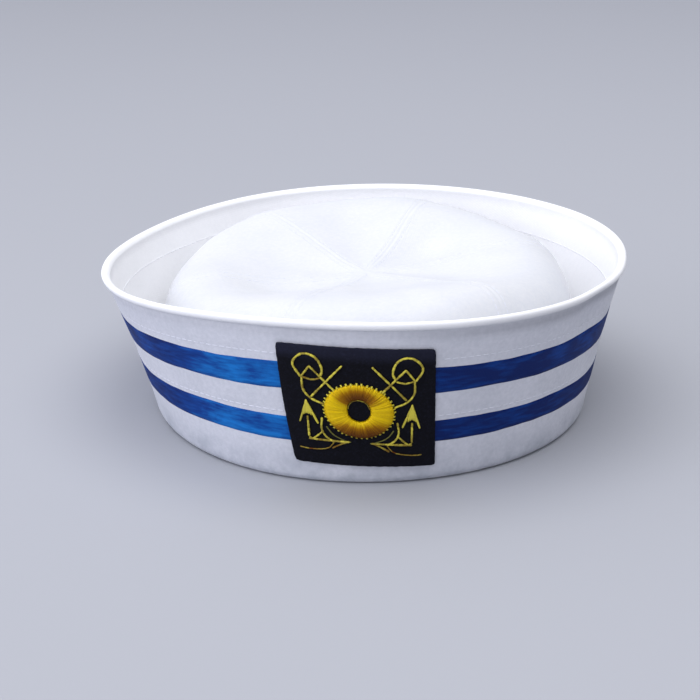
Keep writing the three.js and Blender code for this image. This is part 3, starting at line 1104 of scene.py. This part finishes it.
class HAT_OT_ribbons(bpy.types.Operator):
    """Makes the two blue ribbons that run round the brim from patch edge to patch edge"""

    bl_idname = "hat.ribbons"
    bl_label = "Ribbons"

    def execute(self, context):
        settings = context.scene.hat_ribbon
        material = dyed_ribbon(settings)
        for stripe in STRIPES:
            tall = stripe.high - stripe.low
            apart = 30 * stripe.seed
            bm, plain = flat_sheet(
                480, 8, 1.0, lambda spot: (RIBBON_HALF_LENGTH * spot.x, tall / 2 * spot.y + apart)
            )
            for vert, spot in plain.items():
                angle = math.radians(mix(stripe.start, stripe.end, (spot.x + 1) / 2))
                edge = 1 if spot.y > 0 else -1
                waver = round_noise(angle, WAVER_WAVE, 0, stripe.seed + edge)
                waver += QUICK_WAVER_SHARE * round_noise(angle, QUICK_WAVER_WAVE, 0, stripe.seed - edge)
                share = (spot.y + 1) / 2
                height = mix(stripe.low, stripe.high, share) + settings.waver / MM * waver * abs(spot.y)
                height -= mix(stripe.low_drop, stripe.high_drop, share) * drop_share(angle)
                out = RIBBON_LIFT + RIBBON_BOW * (1 - spot.y**4)
                vert.co = wall_point(angle, height - stripe.slant * math.sin(angle), out)
            bmesh.ops.recalc_face_normals(bm, faces=bm.faces)
            piece = finish_piece(bm, stripe.name, [material], "root", [stripe.replaces])
            give_wall(piece, settings.thickness, 1.0)
        return {"FINISHED"}


# Badge


class HAT_OT_patch(bpy.types.Operator):
    """Makes the felt patch on the front of the brim"""

    bl_idname = "hat.patch"
    bl_label = "Patch"

    def execute(self, context):
        settings = context.scene.hat_badge
        bm, plain = flat_sheet(84, 78, 0.5, lambda spot: (PATCH_WIDTH * spot.x, PATCH_TALL * spot.y))
        for vert, spot in plain.items():
            x, y = spot.x * GRAINS_ACROSS, spot.y * GRAINS_UP
            rough = PATCH_ROUGHNESS * Vector([noise.noise(Vector((x, y, seed))) for seed in GRAIN_SEEDS])
            from_side, from_end = 0.5 - abs(spot.x), 0.5 - abs(spot.y)
            side = PATCH_SIDE_FOOT + PATCH_SIDE_TOP * (spot.y + 0.5) + PATCH_SIDE_BOW * (1 - 4 * spot.y**2)
            side *= (0.5 - spot.x) ** 3
            rounded = PATCH_CORNER * bell(math.hypot(from_side, from_end) * PATCH_TALL, 1.0)
            across = (spot.x + 0.5 - MOTIF_ACROSS) * PATCH_WIDTH + rough.x - side
            across -= math.copysign(rounded, spot.x)
            up = (spot.y + 0.5 - MOTIF_UP) * PATCH_TALL + rough.y - math.copysign(rounded, spot.y)
            bow = PATCH_BOW * bell(min(from_side, from_end) * PATCH_TALL, PATCH_BOW_SPREAD)
            vert.co = patch_point(across, up, PATCH_FACE - bow + 0.25 * rough.z)
        piece = finish_piece(bm, "patch_felt", [navy_felt(settings)], "root", ["badge_patch"])
        give_wall(piece, PATCH_THICKNESS * MM, -1.0)
        rounding = piece.modifiers.new("soft_edge", "BEVEL")
        rounding.width = PATCH_ROUNDING * MM
        rounding.segments = 3
        rounding.limit_method = "ANGLE"
        rounding.angle_limit = math.radians(50)
        return {"FINISHED"}


def hole_radius(turn):
    return mix(HOLE_SIDE, HOLE_TOP if math.sin(turn) > 0 else HOLE_BOTTOM, math.sin(turn) ** 2)


def ring_slope(radius, turn):
    """Place across the ring, from -1 at its hole to 1 at its outer edge."""
    middle = (RING_OUTER + hole_radius(turn)) / 2
    return (radius - middle) / (RING_OUTER - middle)


def ring_height(radius, turn):
    """Height of the padded ring over the patch."""
    return RING_RISE * math.sqrt(1 - min(1.0, abs(ring_slope(radius, turn))) ** 2)


def painted_ring_shade(radius, turn):
    """How amber the ring is at a place, as painted shade: on its lower outer face and its upper inner face.
    """
    inwards = -ring_slope(radius, turn) * math.copysign(1, math.sin(turn))
    return smooth(inwards, -1, 0.45) * smooth(abs(math.sin(turn)), 0.3, 1)


def ring_point(radius, turn, across, out):
    """A place on the ring, in metres: across is measured along the ring at that radius."""
    x = radius * math.cos(turn) - across * math.sin(turn)
    y = radius * math.sin(turn) + across * math.cos(turn)
    return patch_point(x, RING_SQUASH * y + RING_LIFT, out)


class HAT_OT_ring(bpy.types.Operator):
    """Makes the raised ring of satin stitches over its padding"""

    bl_idname = "hat.ring"
    bl_label = "Ring"

    def execute(self, context):
        settings = context.scene.hat_badge
        picked = random.Random(5)
        sewing = Sewing()
        self.make_padding(sewing.bm)
        self.sew_satin(sewing, picked)
        line = [
            Vector((math.cos(turn), RING_SQUASH * math.sin(turn), 0.0)) * (hole_radius(turn) - 0.1)
            + Vector((0.0, RING_LIFT, 0.0))
            for turn in (math.radians(degrees) for degrees in HOLE_EDGE)
        ]
        sew_on_patch(sewing, line, picked, spacing=1.3, width=0.4, lift=0.3, shade=0.35, material_index=2)
        gold = rayon_thread("gold_rayon_thread", settings.gold, settings.orange, settings.amber, gloss=0.35)
        # The padding shows amber between the satin stitches: painted shade between the threads
        padding = rayon_thread(
            "amber_padding_painted_shade", settings.amber, settings.amber, linear(PADDING_SHADE), roughness=0.8
        )
        line_thread = rayon_thread(
            "pale_gold_rayon_thread", settings.line, settings.line_dull, settings.amber, gloss=0.3
        )
        sewing.finish("ring_stitches", [gold, padding, line_thread], ["badge_ring"])
        return {"FINISHED"}

    def make_padding(self, bm):
        """The low cushion of thread that the satin stitches lie over."""
        section = [(1 + step / PADDING_STEPS, 0.0, 1.0) for step in range(1, PADDING_STEPS)]
        plain = spin_section(bm, [(1.0, 0.0, 0.0), *section, (2.0, 0.0, 0.0)], PADDING_TURNS)
        for vert, spot in plain.items():
            turn = math.atan2(spot.y, spot.x)
            inner, outer = hole_radius(turn) + PADDING_FROM_HOLE, RING_OUTER - PADDING_FROM_EDGE
            radius = mix(inner, outer, math.hypot(spot.x, spot.y) - 1)
            rise = spot.z * ring_height(radius, turn) - PADDING_SINK
            vert.co = ring_point(radius, turn, 0.0, PATCH_FACE + rise)
        for face in bm.faces:
            face.material_index = 1
        bmesh.ops.recalc_face_normals(bm, faces=bm.faces)

    def sew_satin(self, sewing, picked):
        """Stitches from the hole to the outer edge, and the short ones that catch the edge down."""
        for index in range(SATIN_STITCHES):
            turn = 2 * math.pi * (index + picked.uniform(-0.15, 0.15)) / SATIN_STITCHES
            outer = RING_OUTER + picked.uniform(-0.15, 0.1)
            inner = hole_radius(turn) + picked.uniform(-0.15, 0.1)
            dull = picked.uniform(-0.14, 0.1)
            lift = picked.uniform(-0.08, 0.08)
            self.lay_radial(sewing, turn, inner, outer, SATIN_WIDTH, SATIN_HEIGHT, lift, dull, 0)
        for index in range(CATCH_STITCHES):
            turn = 2 * math.pi * (index + picked.uniform(-0.12, 0.12)) / CATCH_STITCHES
            outer = RING_OUTER + picked.uniform(0.3, 0.5)
            inner = outer - CATCH_LENGTH
            dull = picked.uniform(-0.9, -0.5)
            self.lay_radial(sewing, turn, inner, outer, CATCH_WIDTH, CATCH_HEIGHT, CATCH_LIFT, dull, 2)

    def lay_radial(self, sewing, turn, inner, outer, width, height, lift, dull, material_index):
        """Adds a stitch that runs away from the ring's middle."""

        def lay(along, across, up):
            radius = (outer + inner) / 2 + along
            return ring_point(radius, turn, across, PATCH_FACE + ring_height(radius, turn) + lift + up)

        # Painted shade of the ring, with each stitch's random dullness added
        def shade(along):
            return min(1.0, max(0.0, painted_ring_shade((outer + inner) / 2 + along, turn) + dull))

        sewing.add(lay, outer - inner, width, height, material_index, shade)


def sew_on_patch(sewing, line, picked, spacing, width, lift, shade, material_index=0):
    """Running stitches along a line on the patch, each overlapping the next a little."""
    spots = evenly_along(line, spacing)
    if (spots[-1] - line[-1]).length > spacing / 3:
        spots.append(line[-1])
    for start, end in zip(spots, spots[1:]):
        over = (end - start) * STITCH_OVERLAP
        sway_x = picked.uniform(-STITCH_SWAY, STITCH_SWAY)
        sway = Vector((sway_x, picked.uniform(-STITCH_SWAY, STITCH_SWAY), 0.0))
        low = patch_point(*(start - over + sway).xy, PATCH_FACE + lift)
        high = patch_point(*(end + over - sway).xy, PATCH_FACE + lift)
        middle = (start + end) / 2
        up = patch_point(*middle.xy, PATCH_FACE + 1.0) - patch_point(*middle.xy, PATCH_FACE)
        thick = STITCH_FLATNESS * width * picked.uniform(0.85, 1.12)
        dull = max(0.0, shade + picked.uniform(-0.15, 0.45))
        sewing.between(low, high, up, thick, thick, material_index, dull)


def motif_place(side, x, y):
    """A place of the left anchor on the patch, or with side -1 its mirror image on the right."""
    across = side * x
    droop = MOTIF_DROOP * max(0.0, across) * smooth(-y, *DROOP_SPAN)
    return Vector((across + MOTIF_LEAN * y, y - droop, 0.0))


class HAT_OT_anchors(bpy.types.Operator):
    """Makes the crossed anchors, embroidered in running stitch either side of the ring"""

    bl_idname = "hat.anchors"
    bl_label = "Anchors"

    def execute(self, context):
        settings = context.scene.hat_badge
        picked = random.Random(21)
        sewing = Sewing()
        for side in (1, -1):
            for stroke in ANCHOR_LINES:
                line = [motif_place(side, p.x, p.y) for p in flowing(stroke.points)]
                sew_on_patch(sewing, line, picked, 1.7, stroke.width, LINE_LIFT, stroke.shade)
            for stroke in ANCHOR_RUNS:
                line = [motif_place(side, *point) for point in stroke.points]
                sew_on_patch(sewing, line, picked, 1.9, stroke.width, RUN_LIFT, stroke.shade)
            tip = motif_place(side, *FLUKE_TIP)
            for place in FLUKE_BARBS:
                barb = [tip, motif_place(side, *place)]
                sew_on_patch(sewing, barb, picked, spacing=5.0, width=0.95, lift=0.35, shade=-0.15)
            for place in FLUKE_FILLING:
                filling = [tip, motif_place(side, *place)]
                sew_on_patch(sewing, filling, picked, spacing=8.0, width=1.0, lift=0.3, shade=-0.3)
            rope = [motif_place(side, p.x, p.y) for p in flowing(ROPE_LINE)]
            sew_on_patch(
                sewing, rope, picked, spacing=1.6, width=0.55, lift=0.15, shade=0.0, material_index=1
            )
        line_thread = rayon_thread(
            "pale_gold_rayon_line_thread", settings.line, settings.line_dull, settings.amber, gloss=0.3
        )
        olive = rayon_thread(
            "olive_rayon_thread", settings.rope, settings.rope, linear(ROPE_SHADE), roughness=0.5
        )
        sewing.finish("anchor_stitches", [line_thread, olive])
        return {"FINISHED"}


# Topstitching


def sew_row(sewing, face_point, path, settings, picked, material_index=0):
    """A row of topstitching along a path of places on a cloth face."""
    line = [face_point(*place, 0.0) for place in path]
    outs = [face_point(*place, 1.0) - spot for place, spot in zip(path, line)]
    step = settings.stitch + settings.gap
    travelled = 0.0
    marks = [0.0]
    for start, end in zip(line, line[1:]):
        travelled += (end - start).length
        marks.append(travelled)

    def at(distance):
        """Place on the line that far along it, and the way out of the cloth there."""
        index = next(i for i, mark in enumerate(marks[1:]) if mark >= distance)
        share = (distance - marks[index]) / max(1e-9, marks[index + 1] - marks[index])
        return line[index].lerp(line[index + 1], share), outs[index]

    width = settings.width / MM
    for index in range(int(travelled / step)):
        start, out = at(step * index)
        reach = step * index + settings.stitch * picked.uniform(0.94, 1.04)
        end = at(min(travelled, reach))[0]
        sewing.between(start, end, out, width, width * 0.8, material_index)


class HAT_OT_topstitch(bpy.types.Operator):
    """Makes the white topstitching: rows round the brim, inside and out, and beside the crown's seams"""

    bl_idname = "hat.topstitch"
    bl_label = "Topstitching"

    def execute(self, context):
        settings = context.scene.hat_topstitch
        picked = random.Random(9)
        thread = rayon_thread(
            "white_polyester_thread", settings.colour, settings.colour, linear(THREAD_SHADE), roughness=0.5
        )
        # The inner rows take a whiter copy of the thread, which is painted light
        white = settings.inner
        painted_lit_inner_thread = rayon_thread(
            "white_polyester_thread_inside", white, white, linear(INNER_SHADE), roughness=0.6
        )
        faces = ((wall_point, OUTER_ROW), (inner_wall_point, INNER_ROW))
        sewing = Sewing()
        for row in BRIM_ROWS:
            for material_index, (face_point, span) in enumerate(faces):
                angles = [math.radians(degrees) for degrees in span]
                path = [(angle, row_height(row, angle)) for angle in angles]
                sew_row(sewing, face_point, path, settings, picked, material_index)
        sewing.finish("brim_topstitch", [thread, painted_lit_inner_thread])
        sewing = Sewing()
        for gore in range(GORES):
            seam = FIRST_SEAM + gore * 2 * math.pi / GORES
            for side in (-SEAM_ROW_AWAY, SEAM_ROW_AWAY):
                path = []
                for step in range(2, SEAM_ROW_STEPS):
                    climb = 1 - SEAM_ROW_END * step / SEAM_ROW_STEPS
                    radius = (oval_point(BASE_OVAL, seam) * crown_outline(climb)[0]).length
                    if radius > SEAM_ROW_START:
                        path.append((seam + side / radius, climb))
                sew_row(sewing, crown_point, path, settings, picked)
        sewing.finish("crown_topstitch", [thread])
        return {"FINISHED"}


def inner_wall_point(angle, height, out):
    """A place on the wall's inner face: out is measured into the hat."""
    return wall_point(angle, height, -BRIM_CLOTH - out)


# Stage


class HAT_OT_stage(bpy.types.Operator):
    """Makes the pale floor, the soft studio lights and the camera"""

    bl_idname = "hat.stage"
    bl_label = "Stage"

    def execute(self, context):
        settings = context.scene.hat_stage
        self.make_camera(context, settings)
        self.make_floor(context, settings)
        for lamp in LAMPS:
            self.make_light(context, lamp)
        self.make_surroundings(context)
        context.scene.view_settings.view_transform = "Standard"
        return {"FINISHED"}

    def make_surroundings(self, context):
        """Soft light from all round, brightest above and to the left."""
        world = bpy.data.worlds.new("studio")
        world.use_nodes = True
        world.node_tree.nodes.clear()
        add = partial(add_node, world.node_tree)
        direction = add("TexCoord", output="Generated")
        towards = add("VectorMath", {0: direction, 1: SKY_BRIGHTEST}, operation="DOT_PRODUCT")
        strength = add("MapRange", {"Value": towards, "From Min": -0.5, "To Min": 0.1, "To Max": 1.26})
        background = add("Background", {"Color": solid(linear(SKY_COLOUR)), "Strength": strength})
        add("OutputWorld", {"Surface": background})
        context.scene.world = world

    def make_camera(self, context, settings):
        azimuth, elevation = settings.azimuth, settings.elevation
        level = math.cos(elevation)
        back = Vector((math.sin(azimuth) * level, -math.cos(azimuth) * level, math.sin(elevation)))
        right = (-back).cross(Vector((0, 0, 1))).normalized()
        up = back.cross(right)
        turn = Matrix.Rotation(settings.roll, 3, back)
        facing = Matrix((turn @ right, turn @ up, back)).transposed().to_4x4()
        data = bpy.data.cameras.new("camera")
        data.lens = settings.lens
        data.sensor_width = 36.0
        data.clip_start = 0.01
        data.clip_end = 50.0
        camera = bpy.data.objects.new("camera", data)
        camera.matrix_world = Matrix.Translation(Vector(settings.aim) + back * settings.distance) @ facing
        context.scene.collection.objects.link(camera)
        context.scene.camera = camera

    def make_floor(self, context, settings):
        bm = bmesh.new()
        bmesh.ops.create_grid(bm, x_segments=2, y_segments=2, size=FLOOR_SIZE)
        bmesh.ops.translate(bm, verts=bm.verts, vec=(0, 0, -FLOOR_DROP))
        mesh = bpy.data.meshes.new("floor")
        bm.to_mesh(mesh)
        bm.free()
        mesh.materials.append(painted_floor(settings.floor))
        floor = bpy.data.objects.new("floor", mesh)
        context.scene.collection.objects.link(floor)

    def make_light(self, context, lamp):
        data = bpy.data.lights.new(lamp.name, "AREA")
        data.shape = "DISK"
        data.size = lamp.size
        data.energy = lamp.power
        data.color = linear(lamp.colour)
        light = bpy.data.objects.new(lamp.name, data)
        facing = (Vector(LAMP_AIM) - Vector(lamp.place)).to_track_quat("-Z", "Y").to_matrix().to_4x4()
        light.matrix_world = Matrix.Translation(lamp.place) @ facing
        context.scene.collection.objects.link(light)


class HAT_PT_panel(bpy.types.Panel):
    """Lists the hat's pieces and their settings"""

    bl_idname = "HAT_PT_panel"
    bl_label = "Sailor Hat"
    bl_space_type = "VIEW_3D"
    bl_region_type = "UI"
    bl_category = "Sailor Hat"

    def draw(self, context):
        for operators, group in PANEL_ROWS:
            box = self.layout.box()
            settings = getattr(context.scene, group)
            for name in type(settings).__annotations__:
                box.prop(settings, name)
            for operator in operators:
                box.operator(operator)


SETTINGS = {
    "hat_crown": HatCrownSettings,
    "hat_brim": HatBrimSettings,
    "hat_ribbon": HatRibbonSettings,
    "hat_badge": HatBadgeSettings,
    "hat_topstitch": HatTopstitchSettings,
    "hat_stage": HatStageSettings,
}
PANEL_ROWS = (
    (("hat.stage",), "hat_stage"),
    (("hat.brim",), "hat_brim"),
    (("hat.crown",), "hat_crown"),
    (("hat.ribbons",), "hat_ribbon"),
    (("hat.patch", "hat.ring", "hat.anchors"), "hat_badge"),
    (("hat.topstitch",), "hat_topstitch"),
)
OPERATORS = (
    HAT_OT_stage,
    HAT_OT_brim,
    HAT_OT_crown,
    HAT_OT_ribbons,
    HAT_OT_patch,
    HAT_OT_ring,
    HAT_OT_anchors,
    HAT_OT_topstitch,
)


def register():
    for name, group in SETTINGS.items():
        bpy.utils.register_class(group)
        setattr(bpy.types.Scene, name, bpy.props.PointerProperty(type=group))
    for made in (*OPERATORS, HAT_PT_panel):
        bpy.utils.register_class(made)


def unregister():
    for made in reversed((*OPERATORS, HAT_PT_panel)):
        bpy.utils.unregister_class(made)
    for name, group in reversed(SETTINGS.items()):
        delattr(bpy.types.Scene, name)
        bpy.utils.unregister_class(group)


def main():
    """Makes the stage and every piece in order."""
    register()
    bpy.ops.hat.stage()
    bpy.ops.hat.brim()
    bpy.ops.hat.crown()
    bpy.ops.hat.ribbons()
    bpy.ops.hat.patch()
    bpy.ops.hat.ring()
    bpy.ops.hat.anchors()
    bpy.ops.hat.topstitch()


if __name__ == "__main__":
    main()
